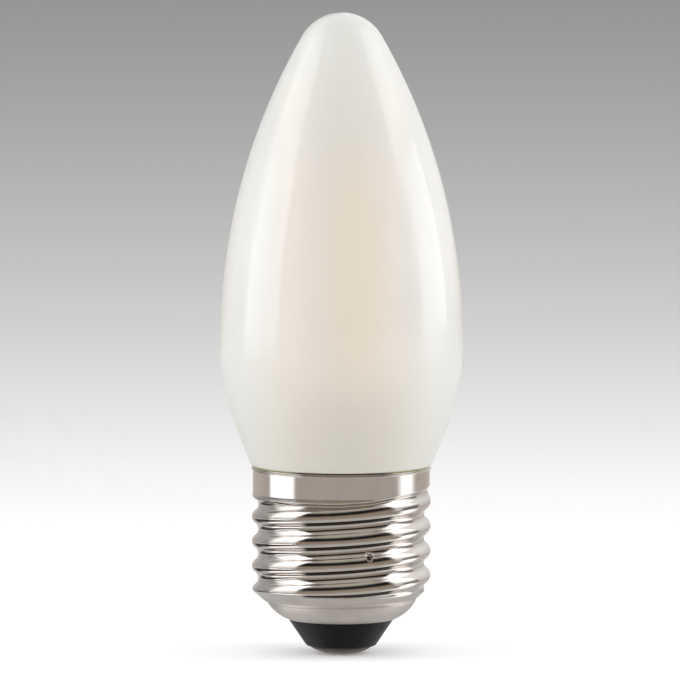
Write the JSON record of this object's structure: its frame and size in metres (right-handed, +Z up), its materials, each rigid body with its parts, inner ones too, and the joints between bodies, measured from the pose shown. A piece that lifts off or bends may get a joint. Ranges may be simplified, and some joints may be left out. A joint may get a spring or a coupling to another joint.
{
  "type": "candle bulb",
  "caption": "Frosted candle-shaped light bulb on a 27 mm screw cap, with a coarse rolled thread, black insulator cone and domed centre contact.",
  "frame": {"origin": "centre of the flat end of the centre contact", "axes": "+Z up the bulb's axis towards the glass tip; -Y towards the viewer of the picture, +X to the viewer's right"},
  "size_m": [0.0356, 0.0356, 0.0943],
  "materials": {
    "opal_glass": "glossy, frosted white inside",
    "cement": "matt, olive",
    "nickel": "nickelled sheet, bright with slight haze",
    "black_insulator": "semi-gloss black",
    "contact_nickel": "dull nickel, brownish"
  },
  "bodies": {
    "root": {"glass_bulb": "opal_glass", "cement_ring": "cement", "screw_shell": "nickel", "insulator": "black_insulator", "centre_contact": "contact_nickel"}
  },
  "joints": []
}
